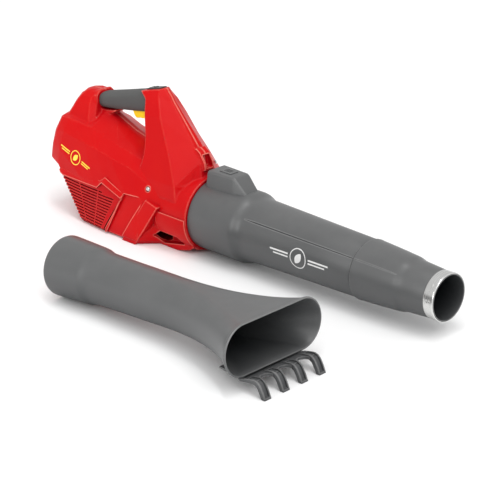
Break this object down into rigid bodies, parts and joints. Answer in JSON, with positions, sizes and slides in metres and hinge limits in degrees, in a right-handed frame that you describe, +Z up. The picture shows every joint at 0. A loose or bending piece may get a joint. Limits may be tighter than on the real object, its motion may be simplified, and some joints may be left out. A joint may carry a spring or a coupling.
{
  "type": "hand-held cordless leaf blower",
  "caption": "Hand-held cordless leaf blower with a red closed-handle body, a long grey tube with a steel-edged round nozzle, and a flat nozzle with a rake beside it.",
  "frame": {"origin": "on the floor under the tube's axis, on the flat base of the intake grille", "axes": "+X along the blow tube towards the nozzle, +Y to the user's left, +Z up"},
  "size_m": [0.8515, 0.466, 0.2576],
  "materials": {
    "red_shell": "smooth gloss moulded ABS with crisp panel steps",
    "tube_grey": "fine satin texture on blow-moulded polypropylene",
    "rake_grey": "satin moulded nylon",
    "grip_dark": "soft matte overmould",
    "accent_yellow": "smooth gloss",
    "black_plastic": "satin moulded nylon",
    "steel": "brushed along the circumference",
    "heatsink": "plain extruded",
    "copper": "varnished copper windings",
    "board_green": "solder mask",
    "lead_red": "insulated wire",
    "rubber_black": "soft black rubber"
  },
  "bodies": {
    "housing": {"housing_left": "red_shell", "housing_right": "red_shell", "housing_screw_1": "steel", "housing_screw_2": "steel", "housing_screw_3": "steel", "housing_screw_4": "steel", "housing_screw_5": "steel", "housing_screw_6": "steel", "duct_screw_right": "steel", "duct_screw_left": "steel", "intake_grille": "red_shell", "handle_grip": "grip_dark", "thumb_pad": "grip_dark", "turbo_spring": "steel", "turbo_switch": "black_plastic", "trigger_pin": "steel", "trigger_spring": "steel", "trigger_switch": "black_plastic", "fan_duct": "black_plastic", "duct_grommet": "rubber_black", "motor_stator": "copper", "bearing_front": "steel", "bearing_rear": "steel", "tail_cone": "black_plastic", "battery_cradle": "black_plastic", "terminal_block": "black_plastic", "controller_board": "board_green", "controller_heatsink": "heatsink", "battery_lead_red": "lead_red", "battery_lead_black": "rubber_black", "motor_lead": "rubber_black", "switch_lead": "rubber_black"},
    "turbo": {"turbo_button": "tube_grey"},
    "trigger": {"trigger": "accent_yellow"},
    "rotor": {"fan_impeller": "black_plastic", "motor_rotor": "steel", "fan_nut": "steel"},
    "battery": {"battery_pack": "black_plastic", "battery_button_spring": "steel"},
    "battery_release": {"battery_button": "accent_yellow"},
    "blow_tube": {"blow_tube": "tube_grey", "tube_latch_spring": "steel"},
    "tube_latch": {"tube_latch": "tube_grey"},
    "front_nozzle": {"round_nozzle": "tube_grey", "nozzle_ring": "steel"},
    "flat_nozzle": {"flat_nozzle": "tube_grey", "rake": "rake_grey", "rake_rivet_1": "steel", "rake_rivet_2": "steel"}
  },
  "joints": [
    {"name": "turbo_press", "type": "slide", "parent": "housing", "child": "turbo", "axis": [0, 0, -1], "range_m": [0, 0.0025], "stiffness_N_per_m": 900, "deforming": ["turbo_spring"]},
    {"name": "trigger_pull", "type": "hinge", "parent": "housing", "child": "trigger", "pos_m": [0.05, 0, 0.2285], "axis": [0, 1, 0], "range_deg": [0, 11], "stiffness_Nm_per_rad": 1.2, "springref_deg": -8.59},
    {"name": "rotor_spin", "type": "hinge", "parent": "housing", "child": "rotor", "pos_m": [0.1, 0, 0.065], "axis": [1, 0, 0], "continuous": true},
    {"name": "battery_slide", "type": "slide", "parent": "housing", "child": "battery", "axis": [-1, 0, 0], "range_m": [0, 0.15]},
    {"name": "battery_release_press", "type": "slide", "parent": "battery", "child": "battery_release", "axis": [1, 0, 0], "range_m": [0, 0.003], "stiffness_N_per_m": 900, "deforming": ["battery_button_spring"]},
    {"name": "tube_pull", "type": "slide", "parent": "housing", "child": "blow_tube", "axis": [1, 0, 0], "range_m": [0, 0.07]},
    {"name": "tube_latch_press", "type": "slide", "parent": "blow_tube", "child": "tube_latch", "axis": [0, 0, -1], "range_m": [0, 0.003], "stiffness_N_per_m": 900, "deforming": ["tube_latch_spring"]},
    {"name": "nozzle_pull", "type": "slide", "parent": "blow_tube", "child": "front_nozzle", "axis": [1, 0, 0], "range_m": [0, 0.06]},
    {"name": "flat_nozzle_lift", "type": "slide", "parent": "housing", "child": "flat_nozzle", "axis": [0, 0, 1], "range_m": [0, 0.25]}
  ]
}
